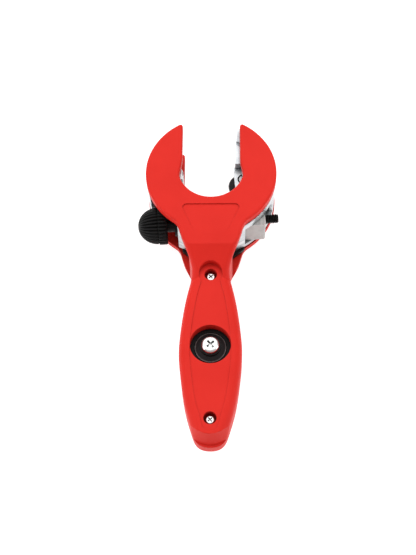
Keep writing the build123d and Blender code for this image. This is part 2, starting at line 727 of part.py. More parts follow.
def feed_screw():
    """Feed screw: knob end, collar, journal and threaded length, with a groove for its clip."""
    collar_right = FINGER_CUT_X - THRUST_GAP - THRUST_T
    screw = bar(KNOB_BORE_END_X, FEED_END_X, FEED_R)
    screw = chamfer(screw.edges().sort_by(Axis.X)[-1:], FEED_CHAMFER)
    screw += bar(KNOB_RIGHT_X, collar_right, FEED_COLLAR_R)
    groove = bar(CLIP_X - CLIP_T / 2, CLIP_X + CLIP_T / 2, FEED_R)
    groove -= bar(CLIP_X - CLIP_T / 2, CLIP_X + CLIP_T / 2, FEED_R - CLIP_GROOVE)
    return screw - groove - knob_pin_hole()


def cross_bar(length):
    """A cylinder across the screw where the knob is pinned to it."""
    return Pos(KNOB_PIN_X, FEED_Y, SEAM_Z) * Rot(90, 0, 0) * Cylinder(KNOB_PIN_R, length)


def knob_pin_hole():
    """Room for the roll pin, right through the knob."""
    return cross_bar(2 * KNOB_R)


def knob_pin():
    """Roll pin through the knob and the screw."""
    return cross_bar(2 * (KNOB_R - KNOB_PIN_SINK))


def knob():
    """Ribbed feed knob with a domed end."""
    dome = ThreePointArc(
        (KNOB_LEFT_X, 0),
        (KNOB_STEP_X - (KNOB_STEP_X - KNOB_LEFT_X) * cos(pi / 4), KNOB_DOME_R * sin(pi / 4)),
        (KNOB_STEP_X, KNOB_DOME_R))
    rest = Polyline(
        (KNOB_STEP_X, KNOB_DOME_R), (KNOB_STEP_X, KNOB_R), (KNOB_RIGHT_X - KNOB_BEVEL, KNOB_R),
        (KNOB_RIGHT_X, KNOB_R - KNOB_BEVEL), (KNOB_RIGHT_X, 0), (KNOB_LEFT_X, 0))
    body = revolve(make_face([dome, *rest.edges()]), Axis.X)
    body = Pos(0, FEED_Y, SEAM_Z) * body
    return body - bar(KNOB_BORE_END_X, KNOB_RIGHT_X, FEED_R) - knob_pin_hole()


def screw_clip():
    """Retaining ring in the screw's groove, open on one side."""
    ring = bar(CLIP_X - CLIP_T / 2, CLIP_X + CLIP_T / 2, CLIP_R)
    ring -= bar(CLIP_X - CLIP_T / 2, CLIP_X + CLIP_T / 2, FEED_R - CLIP_GROOVE)
    half = CLIP_OPENING / 2
    gap = box(CLIP_X - CLIP_T, CLIP_X + CLIP_T, FEED_Y - half, FEED_Y + half, SEAM_Z, SEAM_Z + CLIP_R)
    return ring - gap


# ---------------------------------------------------------------- jaw

def jaw():
    """Sliding yoke that carries the cutting wheel."""
    yoke = box(JAW_LEFT_X, JAW_RIGHT_X, JAW_LOW_Y, JAW_TOP_Y, JAW_LOW_Z, JAW_TOP_Z)
    uprights = yoke.edges().filter_by(Axis.Z).filter_by(lambda e: e.position_at(0.5).Y > 0)
    yoke = fillet(uprights, JAW_ROUND)
    z0 = SEAM_Z - WHEEL_SLOT_T / 2
    z1 = SEAM_Z + WHEEL_SLOT_T / 2
    yoke -= post(WHEEL_X, WHEEL_Y, WHEEL_SLOT_R, z0, z1)
    yoke -= box(JAW_LEFT_X - MARGIN, WHEEL_X, WHEEL_Y - WHEEL_SLOT_R, WHEEL_Y + WHEEL_SLOT_R, z0, z1)
    yoke -= post(WHEEL_X, WHEEL_Y, WHEEL_PIN_R, JAW_LOW_Z, JAW_TOP_Z)
    yoke -= post(WHEEL_X, WHEEL_Y, WHEEL_PIN_HEAD_R + CLEAR, JAW_LOW_Z, JAW_LOW_Z + WHEEL_PIN_HEAD_T)
    yoke -= post(WHEEL_X, WHEEL_Y, WHEEL_PIN_HEAD_R + CLEAR, JAW_TOP_Z - WHEEL_PIN_HEAD_T, JAW_TOP_Z)
    return yoke


def jaw_nut():
    """Threaded block under the yoke, with a shallow step across its front."""
    block = box(NUT_LEFT_X, NUT_RIGHT_X, NUT_LOW_Y, JAW_LOW_Y, JAW_LOW_Z, JAW_TOP_Z)
    corner = block.edges().filter_by(Axis.Z).filter_by(
        lambda e: e.position_at(0.5).Y < JAW_LOW_Y - MARGIN and e.position_at(0.5).X > WHEEL_X)
    block = fillet(corner, JAW_ROUND)
    step_top_y = JAW_LOW_Y - 2 * MARGIN
    block -= box(NUT_LEFT_X, NUT_RIGHT_X, NUT_STEP_Y, step_top_y, JAW_TOP_Z - NUT_STEP, JAW_TOP_Z)
    return block - bar(NUT_LEFT_X, NUT_RIGHT_X, FEED_R + FIT)


def wheel_pin():
    """Headed pin that the cutting wheel turns on."""
    pin = post(WHEEL_X, WHEEL_Y, WHEEL_PIN_R, JAW_LOW_Z, JAW_TOP_Z - WHEEL_PIN_SHORT)
    pin += post(WHEEL_X, WHEEL_Y, WHEEL_PIN_HEAD_R, JAW_LOW_Z, JAW_LOW_Z + WHEEL_PIN_HEAD_T)
    return pin


def wheel_pin_clip():
    """Retaining ring round the front end of the wheel's pin."""
    z0 = JAW_TOP_Z - WHEEL_PIN_HEAD_T
    ring = post(WHEEL_X, WHEEL_Y, WHEEL_PIN_HEAD_R, z0, z0 + PIN_CLIP_T)
    return ring - post(WHEEL_X, WHEEL_Y, WHEEL_PIN_R, z0, z0 + PIN_CLIP_T)


def cutter_wheel():
    """The wheel that cuts."""
    return wheel(WHEEL_X, WHEEL_Y, SEAM_Z)


# ---------------------------------------------------------------- pawls

def pawl(side):
    """One ratchet pawl: eye, arm, hook and tail. side is -1 for left and 1 for right."""
    px = side * PAWL_PIVOT[0]
    py = PAWL_PIVOT[1]
    steep = 270 + side * PAWL_TIP_ANGLE + PAWL_GAP
    outer = TOOTH_TIP_R + PAWL_HOOK_OUT
    inner = TOOTH_ROOT_R + PAWL_HOOK_IN
    hook = make_face(Polyline(
        polar(outer, steep), polar(inner, steep), polar(inner, steep + PAWL_HOOK_TIP),
        polar(TOOTH_TIP_R + PAWL_HOOK_IN, steep + PAWL_HOOK_BASE),
        polar(outer, steep + PAWL_HOOK_BASE), close=True))
    tip = Vector(*polar(TOOTH_TIP_R + PAWL_ARM_OUT, steep + PAWL_HOOK_BASE / 2))
    along = (tip - Vector(px, py)).normalized()
    across = along.rotate(Axis.Z, 90)
    base = Vector(px, py)
    corners = [
        base + across * PAWL_EYE_R, tip + across * PAWL_ARM_TIP,
        tip - across * PAWL_ARM_TIP, base - across * PAWL_EYE_R]
    arm = make_face(Polyline(*corners, close=True)) - Circle(TOOTH_TIP_R + PAWL_CLEAR)
    face = Pos(px, py) * Circle(PAWL_EYE_R) + arm + hook
    face += Pos(px, (py + PAWL_TAIL_Y) / 2) * Rectangle(2 * PAWL_TAIL_HALF, py - PAWL_TAIL_Y)
    face -= Pos(px, py) * Circle(PAWL_PIN_R + FIT)
    return slab(face, REAR_FLANGE_Z, REAR_FLANGE_Z + PAWL_T)


def pawl_pins():
    """The pivots of the two pawls."""
    top = REAR_FLANGE_Z + FLANGE_T
    return group(post(x, y, PAWL_PIN_R, PAWL_PIN_BASE_Z, top) for x, y in pawl_pin_places())


def pawl_spring():
    """Coil spring between the pawls' tails, which pushes both tips into the teeth."""
    half = PAWL_PIVOT[0] - PAWL_TAIL_HALF - SPRING_END_GAP
    z = REAR_FLANGE_Z + PAWL_T / 2
    length = 2 * half - 2 * SPRING_WIRE_R
    path = Helix(length / SPRING_TURNS, length, SPRING_R)
    wire = Plane(path @ 0, z_dir=path % 0) * Circle(SPRING_WIRE_R)
    coil = sweep(wire, path, is_frenet=True)
    place = Pos(-length / 2, PAWL_TAIL_Y + SPRING_R + SPRING_FOOT, z) * Rot(0, 90, 0)
    return place * coil


# ---------------------------------------------------------------- all nodes

HANDLE_NODES = {
    "front_shell": front_shell,
    "rear_shell": rear_shell,
    "handle_screws": handle_screws,
    "shell_inserts": shell_inserts,
    "spare_wheel": spare_wheel,
    "spare_wheel_cup": spare_wheel_cup,
    "spare_wheel_screw": spare_wheel_screw,
    "spare_wheel_insert": spare_wheel_insert,
    "guide_ring_front": lambda: guide_ring(FRONT_IN_Z - RING_STAND),
    "guide_ring_rear": lambda: guide_ring(REAR_IN_Z - RING_SINK),
    "pawl_left": lambda: pawl(-1),
    "pawl_right": lambda: pawl(1),
    "pawl_pins": pawl_pins,
    "pawl_spring": pawl_spring,
}

ROTOR_NODES = {
    "rotor_front_flange": rotor_front_flange,
    "rotor_rear_flange": rotor_rear_flange,
    "rotor_body": rotor_body,
    "rotor_screws": lambda: group(rotor_screw_solids()),
    "roller_pins": roller_pins,
    "roller_upper": lambda: roller(ROLLER_YS[0]),
    "roller_lower": lambda: roller(ROLLER_YS[1]),
    "feed_bush": feed_bush,
    "thrust_plate": thrust_plate,
    "feed_screw": feed_screw,
    "knob": knob,
    "knob_pin": knob_pin,
    "screw_clip": screw_clip,
    "jaw": jaw,
    "jaw_nut": jaw_nut,
    "wheel_pin": wheel_pin,
    "wheel_pin_clip": wheel_pin_clip,
    "cutter_wheel": cutter_wheel,
}

os.makedirs("parts", exist_ok=True)
for name, make in HANDLE_NODES.items():
    export_step(make(), f"parts/{name}.step")
for name, make in ROTOR_NODES.items():
    export_step(TURN * make(), f"parts/{name}.step")
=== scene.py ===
"""Ratcheting C-head tube cutter: finishes, knob, feed screw, pawl spring and studio. Metres, CAD frame."""
from math import atan, cos, pi, radians, sin, tau

import bmesh
import bpy
from mathutils import Euler, Matrix, Vector


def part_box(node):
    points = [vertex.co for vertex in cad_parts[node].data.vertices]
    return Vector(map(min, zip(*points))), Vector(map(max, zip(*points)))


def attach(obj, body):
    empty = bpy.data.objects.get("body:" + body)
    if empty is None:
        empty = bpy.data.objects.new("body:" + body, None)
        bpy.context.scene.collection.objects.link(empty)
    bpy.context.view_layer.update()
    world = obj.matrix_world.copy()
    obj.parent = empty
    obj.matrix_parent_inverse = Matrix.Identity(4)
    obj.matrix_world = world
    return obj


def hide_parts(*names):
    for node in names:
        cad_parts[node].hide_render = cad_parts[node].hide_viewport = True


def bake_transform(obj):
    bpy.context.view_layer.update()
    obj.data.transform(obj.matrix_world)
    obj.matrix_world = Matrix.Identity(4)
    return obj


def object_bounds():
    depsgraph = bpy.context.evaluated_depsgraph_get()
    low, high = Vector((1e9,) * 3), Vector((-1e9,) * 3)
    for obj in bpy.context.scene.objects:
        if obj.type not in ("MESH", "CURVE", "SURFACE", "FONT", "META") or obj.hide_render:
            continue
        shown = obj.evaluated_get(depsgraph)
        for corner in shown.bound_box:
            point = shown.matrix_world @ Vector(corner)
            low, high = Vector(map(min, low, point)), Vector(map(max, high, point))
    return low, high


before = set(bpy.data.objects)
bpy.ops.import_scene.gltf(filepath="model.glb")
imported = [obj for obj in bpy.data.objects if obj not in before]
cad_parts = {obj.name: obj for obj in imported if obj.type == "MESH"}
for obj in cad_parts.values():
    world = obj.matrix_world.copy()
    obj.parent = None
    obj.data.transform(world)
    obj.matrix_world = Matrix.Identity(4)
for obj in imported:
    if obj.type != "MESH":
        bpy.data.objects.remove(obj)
cad_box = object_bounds()

MM = 0.001
REST_TURN = radians(3.8)                     # the rotor stands turned by this angle at rest
TURN = Matrix.Rotation(REST_TURN, 4, "Z")    # from the rotor's own axes to the frame

# ---- knob ----
KNOB_RIBS = 32
RIB_STEPS = 10             # mesh columns in one rib
RIB_DEPTH = 0.95 * MM
RIB_SHARE = 0.16           # a rib is no deeper than this part of the local radius
VALLEY_SHARPNESS = 1.8     # above 1, the valleys are narrower than the ribs
DOME_LENGTH = 11.9 * MM
DOME_STEPS = 22
COLLAR_STEP = 0.45 * MM    # the collar stands this far out of the dome
COLLAR_ROUND = 0.8 * MM
GROOVE_DEPTH = 0.5 * MM    # of the groove between the dome and the collar
GROOVE_START = 0.15 * MM   # from the dome's foot to the groove's floor
GROOVE_END = 0.35 * MM     # from the dome's foot to the far end of that floor
COLLAR_START = 0.5 * MM    # from the dome's foot to the collar
COLLAR_FULL = 0.8 * MM     # from the dome's foot to the collar's full radius
COLLAR_BEVEL = 0.15 * MM
KNOB_SMOOTH = radians(48)  # faces that meet at less than this are shaded smooth
KNOB_BORE_DEPTH = 8.2 * MM

# ---- feed screw ----
FEED_SCREW_R = 2.95 * MM   # the knob's bore has the same radius
FEED_SCREW_BEVEL = 0.3 * MM
CLIP_GROOVE = 0.45 * MM    # depth of the groove for the retaining ring
THREAD_PITCH = 1.0 * MM
THREAD_DEPTH = 0.61 * MM
THREAD_ROWS = 10           # mesh rows in one turn of the thread
THREAD_COLUMNS = 40
THREAD_CLEAR = 3.2 * MM    # plain length between the clip's groove and the thread
THREAD_CHAMFER = 0.7 * MM
CREST_SHARE = 0.12         # flat part of a crest, and of a root
FLANK_SHARE = 0.76
SCREW_SMOOTH = radians(40)

# ---- pawl spring ----
SPRING_TURNS = 7
SPRING_WIRE_R = 0.2 * MM
WIRE_SIDES = 12            # mesh columns around the wire
WIRE_RINGS = 24            # mesh rings in one turn of the coil
WIRE_SMOOTH = radians(50)

# ---- shader nodes ----
BEVEL_SAMPLES = 4
OPEN_AIR_SAMPLES = 6
MIX_FIRST = 6              # places of the colour sockets on a Mix node
MIX_SECOND = 7
MIX_RESULT = 2
TURNING_PITCH = 0.28 * MM  # distance between the tool marks on turned parts

# ---- studio ----
FLOOR_SHARE = 40           # half the floor's side, in diagonals of the object
FLOOR_GAP = 0.05 * MM      # the floor lies this far under the object
SURROUND_STRENGTH = 0.48
LIGHTS = (                 # name, place, side of the softbox, power in watts
    ("key", (-0.1, 0.42, 1.0), 2.0, 16.5),
    ("left", (-0.9, -0.25, 0.45), 0.5, 2.0),
    ("right", (0.9, -0.2, 0.5), 0.5, 2.0),
)

# ---- camera ----
CAMERA_PLACE = (0.010, -0.340, 0.588)
CAMERA_TILT = radians(26.25)            # from straight down towards the throat
CAMERA_SWING = atan(0.0118 / 0.568)     # to the side: 11.8 mm at 568 mm
CAMERA_ROLL = radians(0.4)              # about its own line of sight
CAMERA_LENS = 69.73                     # focal length in millimetres


# ---------------------------------------------------------------- measures taken from the frame

def turned_box(node):
    """Lowest and highest corner of a rotor node, along the rotor's own axes."""
    back = TURN.inverted()
    points = [back @ v.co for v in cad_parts[node].data.vertices]
    low = Vector(min(p[i] for p in points) for i in range(3))
    high = Vector(max(p[i] for p in points) for i in range(3))
    return low, high


def middle(node):
    """Middle of a node's box at rest."""
    low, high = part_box(node)
    return (low + high) / 2


# ---------------------------------------------------------------- mesh building

def grid_object(name, rows, place):
    """A closed tube of mesh from rings of equal length; its two ends are closed with caps."""
    mesh = bmesh.new()
    rings = [[mesh.verts.new(place @ p) for p in row] for row in rows]
    count = len(rings[0])
    for low, high in zip(rings, rings[1:]):
        for i in range(count):
            j = (i + 1) % count
            mesh.faces.new((low[i], low[j], high[j], high[i]))
    mesh.faces.new(list(reversed(rings[0])))
    mesh.faces.new(rings[-1])
    bmesh.ops.recalc_face_normals(mesh, faces=mesh.faces)
    data = bpy.data.meshes.new(name)
    mesh.to_mesh(data)
    mesh.free()
    made = bpy.data.objects.new(name, data)
    bpy.context.scene.collection.objects.link(made)
    return made


def smooth_by_angle(obj, angle):
    """Smooth shading with sharp edges where faces meet at more than this angle."""
    mesh = bmesh.new()
    mesh.from_mesh(obj.data)
    for face in mesh.faces:
        face.smooth = True
    for edge in mesh.edges:
        edge.smooth = not edge.is_manifold or edge.calc_face_angle(0) < angle
    mesh.to_mesh(obj.data)
    mesh.free()


# ---------------------------------------------------------------- knob

def knob_profile(length, radius):
    """Points (distance from the dome's end, radius, share of the ribs' depth) of the knob's outside."""
    dome_r = radius - COLLAR_STEP
    points = []
    for i in range(1, DOME_STEPS + 1):
        angle = pi / 2 * i / DOME_STEPS
        points.append((DOME_LENGTH * (1 - cos(angle)), dome_r * sin(angle), 1.0))
    points.append((DOME_LENGTH + GROOVE_START, dome_r - GROOVE_DEPTH, 0.5))
    points.append((DOME_LENGTH + GROOVE_END, dome_r - GROOVE_DEPTH, 0.5))
    points.append((DOME_LENGTH + COLLAR_START, radius - COLLAR_BEVEL, 1.0))
    points.append((DOME_LENGTH + COLLAR_FULL, radius, 1.0))
    points.append((length - COLLAR_ROUND, radius, 1.0))
    points.append((length - COLLAR_ROUND * 0.3, radius - COLLAR_ROUND * 0.3, 0.8))
    points.append((length, radius - COLLAR_ROUND, 0.3))
    return points


def ribbed_knob():
    """Feed knob: a dome and a collar with fine ribs along the axis, and a bore for the screw."""
    low, high = turned_box("knob")
    radius = (high.z - low.z) / 2
    length = high.x - low.x
    columns = KNOB_RIBS * RIB_STEPS

    def ring(x, r, ribbed):
        depth = min(RIB_DEPTH, RIB_SHARE * r) * ribbed
        points = []
        for i in range(columns):
            valley = (0.5 + 0.5 * cos(tau * i / RIB_STEPS)) ** VALLEY_SHARPNESS
            local = r - depth * valley
            angle = tau * i / columns
            points.append(Vector((x, local * cos(angle), local * sin(angle))))
        return points

    rows = [ring(*point) for point in knob_profile(length, radius)]
    bore_start = length - KNOB_BORE_DEPTH
    rows.append(ring(length, FEED_SCREW_R, 0.0))
    rows.append(ring(bore_start, FEED_SCREW_R, 0.0))
    start = Vector((low.x, (low.y + high.y) / 2, (low.z + high.z) / 2))
    knob = grid_object("knob_ribbed", rows, TURN @ Matrix.Translation(start))
    smooth_by_angle(knob, KNOB_SMOOTH)
    return knob


# ---------------------------------------------------------------- feed screw

def thread_radius(x, angle, outer):
    """Radius of a thread with flanks at about 60 degrees, at this place along and around it."""
    phase = (x / THREAD_PITCH - angle / tau) % 1.0
    crest = abs(2 * phase - 1)
    return outer - THREAD_DEPTH * min(1.0, max(0.0, (crest - CREST_SHARE) / FLANK_SHARE))


def threaded_screw():
    """Feed screw: collar, journal, groove for the clip and a real helical thread."""
    low, high = turned_box("feed_screw")
    _, knob_high = turned_box("knob")
    washer_low, washer_high = turned_box("thrust_plate")
    clip_low, clip_high = turned_box("screw_clip")
    collar_r = (high.z - low.z) / 2
    outer = FEED_SCREW_R
    root = outer - CLIP_GROOVE
    centre = Vector((0, (washer_low.y + washer_high.y) / 2, (washer_low.z + washer_high.z) / 2))
    rows = []

    def plain(x, r):
        rows.append([Vector((x, r * cos(tau * i / THREAD_COLUMNS), r * sin(tau * i / THREAD_COLUMNS)))
                     for i in range(THREAD_COLUMNS)])

    for x, r in (
            (low.x, outer - FEED_SCREW_BEVEL), (low.x + FEED_SCREW_BEVEL, outer), (knob_high.x, outer),
            (knob_high.x, collar_r), (washer_low.x, collar_r), (washer_low.x, outer),
            (clip_low.x, outer), (clip_low.x, root), (clip_high.x, root), (clip_high.x, outer)):
        plain(x, r)
    start = clip_high.x + THREAD_CLEAR
    plain(start - THREAD_DEPTH, outer)
    steps = int((high.x - start) / THREAD_PITCH * THREAD_ROWS)
    for k in range(steps + 1):
        x = start + (high.x - start) * k / steps
        run_in = min(1.0, (x - start) / THREAD_PITCH)
        limit = outer - THREAD_CHAMFER * max(0.0, 1 - (high.x - x) / THREAD_CHAMFER)
        ring = []
        for i in range(THREAD_COLUMNS):
            angle = tau * i / THREAD_COLUMNS
            cut = thread_radius(x, angle, outer)
            r = min(limit, outer + (cut - outer) * run_in)
            ring.append(Vector((x, r * cos(angle), r * sin(angle))))
        rows.append(ring)
    screw = grid_object("feed_screw_threaded", rows, TURN @ Matrix.Translation(centre))
    smooth_by_angle(screw, SCREW_SMOOTH)
    return screw


# ---------------------------------------------------------------- pawl spring

def half_spring(name, side):
    """Half of the coil between the pawls' tails, from the coil's middle to its end on this side."""
    low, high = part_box("pawl_spring")
    coil_r = (high.z - low.z) / 2 - SPRING_WIRE_R
    half = (high.x - low.x) / 2 - SPRING_WIRE_R
    half_turn = pi * SPRING_TURNS
    steps = int(WIRE_RINGS * SPRING_TURNS / 2)
    rings = []
    for k in range(steps + 1):
        share = side * k / steps
        angle = half_turn * share
        out = Vector((0, cos(angle), sin(angle)))
        around = Vector((0, -sin(angle), cos(angle)))
        along = (Vector((half, 0, 0)) + half_turn * coil_r * around).normalized()
        across = along.cross(out)
        core = Vector((half * share, 0, 0)) + coil_r * out
        rings.append([
            core + SPRING_WIRE_R * (cos(tau * i / WIRE_SIDES) * out + sin(tau * i / WIRE_SIDES) * across)
            for i in range(WIRE_SIDES)])
    coil = grid_object(name, rings, Matrix.Translation(middle("pawl_spring")))
    smooth_by_angle(coil, WIRE_SMOOTH)
    return coil


# ---------------------------------------------------------------- finishes

class Finish:
    """A procedural material: a Principled shader with helpers for its textures. Places are in metres."""

    def __init__(self, name, **values):
        self.material = bpy.data.materials.new(name)
        self.material.use_nodes = True
        self.tree = self.material.node_tree
        self.tree.nodes.clear()
        self.shader = self.add("ShaderNodeBsdfPrincipled")
        output = self.add("ShaderNodeOutputMaterial")
        self.join(self.shader.outputs["BSDF"], output.inputs["Surface"])
        for socket, value in values.items():
            self.shader.inputs[socket.replace("_", " ")].default_value = value
        self.place = self.add("ShaderNodeTexCoord").outputs["Object"]

    def add(self, kind, **settings):
        """A new shader node with these settings."""
        node = self.tree.nodes.new(kind)
        for key, value in settings.items():
            setattr(node, key, value)
        return node

    def join(self, start, end):
        """Links an output socket to an input socket."""
        self.tree.links.new(start, end)

    def stretched(self, scale, turn=(0, 0, 0)):
        """The place turned, then scaled along its axes, for grain with a direction."""
        node = self.add("ShaderNodeMapping")
        node.inputs["Rotation"].default_value = turn
        node.inputs["Scale"].default_value = scale
        self.join(self.place, node.inputs["Vector"])
        return node.outputs["Vector"]

    def noise(self, scale, detail=3.0, rough=0.55, place=None):
        """Cloudy texture with this many features per metre, or per unit of a stretched place."""
        node = self.add("ShaderNodeTexNoise")
        node.inputs["Scale"].default_value = scale
        node.inputs["Detail"].default_value = detail
        node.inputs["Roughness"].default_value = rough
        self.join(place or self.place, node.inputs["Vector"])
        return node.outputs["Fac"]

    def cells(self, scale):
        """Small dimples with this many per metre."""
        node = self.add("ShaderNodeTexVoronoi")
        node.inputs["Scale"].default_value = scale
        self.join(self.place, node.inputs["Vector"])
        return node.outputs["Distance"]

    def math(self, operation, first, second):
        """Arithmetic on a texture's value, which is a socket; the other operand may be a number."""
        node = self.add("ShaderNodeMath", operation=operation)
        for value, socket in ((first, node.inputs[0]), (second, node.inputs[1])):
            if isinstance(value, (int, float)):
                socket.default_value = value
            else:
                self.join(value, socket)
        return node.outputs["Value"]

    def spread(self, value, low, high, start=0.3, end=0.7):
        """The texture's values from start to end, spread from low to high."""
        node = self.add("ShaderNodeMapRange")
        node.inputs["From Min"].default_value = start
        node.inputs["From Max"].default_value = end
        node.inputs["To Min"].default_value = low
        node.inputs["To Max"].default_value = high
        self.join(value, node.inputs["Value"])
        return node.outputs["Result"]

    def blend(self, amount, first, second):
        """A colour between two, each a colour or the output of another blend."""
        node = self.add("ShaderNodeMix", data_type="RGBA")
        self.join(amount, node.inputs["Factor"])
        for value, socket in ((first, node.inputs[MIX_FIRST]), (second, node.inputs[MIX_SECOND])):
            if isinstance(value, tuple):
                socket.default_value = (*value, 1.0)
            else:
                self.join(value, socket)
        return node.outputs[MIX_RESULT]

    def edges(self, radius, start=0.02, end=0.2):
        """1 along edges that stick out or in, 0 on flat faces."""
        soft = self.add("ShaderNodeBevel", samples=BEVEL_SAMPLES)
        soft.inputs["Radius"].default_value = radius
        true = self.add("ShaderNodeNewGeometry")
        dot = self.add("ShaderNodeVectorMath", operation="DOT_PRODUCT")
        self.join(soft.outputs["Normal"], dot.inputs[0])
        self.join(true.outputs["Normal"], dot.inputs[1])
        return self.spread(dot.outputs["Value"], 1.0, 0.0, 1 - end, 1 - start)

    def distance(self, centre, axes):
        """Distance from a line through centre; axes are 1 across the line and 0 along it."""
        shift = self.add("ShaderNodeVectorMath", operation="SUBTRACT")
        shift.inputs[1].default_value = centre
        self.join(self.place, shift.inputs[0])
        flat = self.add("ShaderNodeVectorMath", operation="MULTIPLY")
        flat.inputs[1].default_value = axes
        self.join(shift.outputs["Vector"], flat.inputs[0])
        length = self.add("ShaderNodeVectorMath", operation="LENGTH")
        self.join(flat.outputs["Vector"], length.inputs[0])
        return length.outputs["Value"]

    def open_air(self, reach, low=0.25, high=0.9):
        """0 deep in holes and narrow gaps, 1 on open surfaces."""
        node = self.add("ShaderNodeAmbientOcclusion", samples=OPEN_AIR_SAMPLES)
        node.inputs["Distance"].default_value = reach
        return self.spread(node.outputs["AO"], 0.0, 1.0, low, high)

    def waves(self, value, pitch):
        """Fine lines, one every pitch metres of the value."""
        turned = self.math("MULTIPLY", value, tau / pitch)
        return self.math("SINE", turned, 0.0)

    def bump(self, height, depth, radius=0.0):
        """Height in the shading, depth metres for a height of 1, over edges rounded by radius."""
        node = self.add("ShaderNodeBump")
        node.inputs["Strength"].default_value = 1.0
        node.inputs["Distance"].default_value = depth
        self.join(height, node.inputs["Height"])
        if radius:
            soft = self.add("ShaderNodeBevel", samples=BEVEL_SAMPLES)
            soft.inputs["Radius"].default_value = radius
            self.join(soft.outputs["Normal"], node.inputs["Normal"])
        self.join(node.outputs["Normal"], self.shader.inputs["Normal"])

    def colour(self, socket):
        self.join(socket, self.shader.inputs["Base Color"])

    def roughness(self, socket):
        self.join(socket, self.shader.inputs["Roughness"])


def red_shell():
    """Satin red coating on a moulding: fine grain, faint clouds and specks, scuffs, slightly worn edges,
    painted shade in recesses.
    """
    f = Finish("red_coating", Specular_IOR_Level=0.1)
    cloud = f.noise(38, 4.0)
    base = f.blend(f.spread(cloud, 0, 1), (0.675, 0.022, 0.014), (0.625, 0.019, 0.012))
    speck = f.spread(f.noise(1500, 2.0), 0, 1, 0.64, 0.82)
    base = f.blend(speck, base, (0.68, 0.034, 0.022))
    wear = f.math("MULTIPLY", f.edges(0.7 * MM), f.spread(f.noise(210, 5.0, 0.7), 0.0, 0.4, 0.42, 0.7))
    base = f.blend(wear, base, (0.80, 0.085, 0.065))
    # painted shade: the red darkens towards near-black in recesses and narrow gaps
    f.colour(f.blend(f.open_air(6 * MM, 0.15, 0.7), (0.30, 0.006, 0.005), base))
    scuff = f.noise(1.0, 4.0, 0.6, f.stretched((900, 60, 300), (0, 0, 0.6)))
    f.roughness(f.math("ADD", f.spread(cloud, 0.4, 0.48), f.spread(scuff, 0.0, 0.08, 0.5, 0.75)))
    grain = f.math("ADD", f.noise(2600, 3.0), f.math("MULTIPLY", f.noise(620, 2.0), 0.6))
    f.bump(grain, 0.03 * MM, 0.35 * MM)
    return f.material


def bright_zinc():
    """Bright plated casting: soft orange peel, clouds from pale to bluish grey, painted highlights along its
    edges, painted shade deep in its gaps.
    """
    f = Finish("bright_plating", Metallic=1.0)
    cloud = f.noise(1.0, 5.0, 0.65, f.stretched((60, 60, 240)))
    base = f.blend(f.spread(cloud, 0, 1), (0.74, 0.765, 0.77), (0.33, 0.36, 0.385))
    # painted highlight: every edge is lighter than the faces
    base = f.blend(f.edges(0.4 * MM), base, (0.86, 0.875, 0.89))
    # painted shade: dark deep in holes and narrow gaps
    f.colour(f.blend(f.open_air(4 * MM, 0.1, 0.65), (0.10, 0.098, 0.10), base))
    f.roughness(f.math("ADD", f.spread(cloud, 0.26, 0.36), f.spread(f.noise(900, 3.0), 0.0, 0.06)))
    peel = f.math("ADD", f.noise(420, 3.0), f.math("MULTIPLY", f.noise(2200, 2.0), 0.3))
    f.bump(peel, 0.018 * MM, 0.3 * MM)
    return f.material


def cast_grey():
    """Machined bare casting: arcs left by a milling cutter on its lower side, over a slightly pitted grey,
    with painted highlights along its edges and painted shade in its gaps.
    """
    f = Finish("machined_casting", Metallic=0.45)
    low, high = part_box("jaw_nut")
    cutter = Vector(((low.x + high.x) / 2, low.y, low.z - 0.4 * (high.z - low.z)))
    arcs = f.waves(f.distance(cutter, (1, 0, 1)), 0.6 * MM)
    cloud = f.noise(240, 5.0, 0.65)
    tone = f.math("ADD", f.math("MULTIPLY", arcs, 0.14), cloud)
    base = f.blend(f.spread(tone, 0, 1), (0.36, 0.355, 0.345), (0.50, 0.49, 0.475))
    pits = f.spread(f.noise(1400, 3.0, 0.7), 0, 0.6, 0.66, 0.76)
    base = f.blend(pits, base, (0.3, 0.29, 0.28))
    # painted highlight: the edges are lighter than the faces
    base = f.blend(f.edges(0.35 * MM), base, (0.85, 0.845, 0.83))
    # painted shade: dark deep in holes and narrow gaps
    f.colour(f.blend(f.open_air(3 * MM, 0.1, 0.6), (0.08, 0.078, 0.076), base))
    f.roughness(f.spread(cloud, 0.36, 0.5))
    f.bump(f.math("ADD", f.math("MULTIPLY", arcs, 0.3), f.noise(1800, 3.0)), 0.016 * MM, 0.25 * MM)
    return f.material


def turned_metal(name, node, bright, dark, rough):
    """A turned part: rings round Z and lines across it, with faint stains, painted highlights along the edges
    and painted shade in hollows.
    """
    f = Finish(name, Metallic=1.0)
    around = f.waves(f.distance(middle(node), (1, 1, 0)), TURNING_PITCH)
    along = f.waves(f.distance(middle(node), (0, 0, 1)), TURNING_PITCH)
    lines = f.math("ADD", around, along)
    cloud = f.noise(320, 4.0, 0.6)
    tone = f.math("ADD", f.math("MULTIPLY", lines, 0.06), cloud)
    base = f.blend(f.spread(tone, 0, 1), dark, bright)
    # painted highlight: the edges are lighter than the rest
    light = tuple(min(0.95, 1.35 * c + 0.05) for c in bright)
    base = f.blend(f.math("MULTIPLY", f.edges(0.25 * MM), 0.7), base, light)
    # painted shade: dark in holes, recesses and narrow gaps
    hollow_shade = tuple(0.08 * c for c in bright)
    f.colour(f.blend(f.open_air(1.6 * MM, 0.3, 0.8), hollow_shade, base))
    f.roughness(f.spread(cloud, rough - 0.06, rough + 0.08))
    f.bump(f.math("ADD", f.math("MULTIPLY", lines, 0.5), f.noise(2400, 2.0)), 0.012 * MM, 0.15 * MM)
    return f.material


def machined_steel(node):
    return turned_metal(f"ground_steel_{node}", node, (0.60, 0.60, 0.60), (0.47, 0.47, 0.475), 0.26)


def screw_steel(node):
    return turned_metal(f"bright_steel_{node}", node, (0.82, 0.82, 0.81), (0.68, 0.68, 0.675), 0.2)


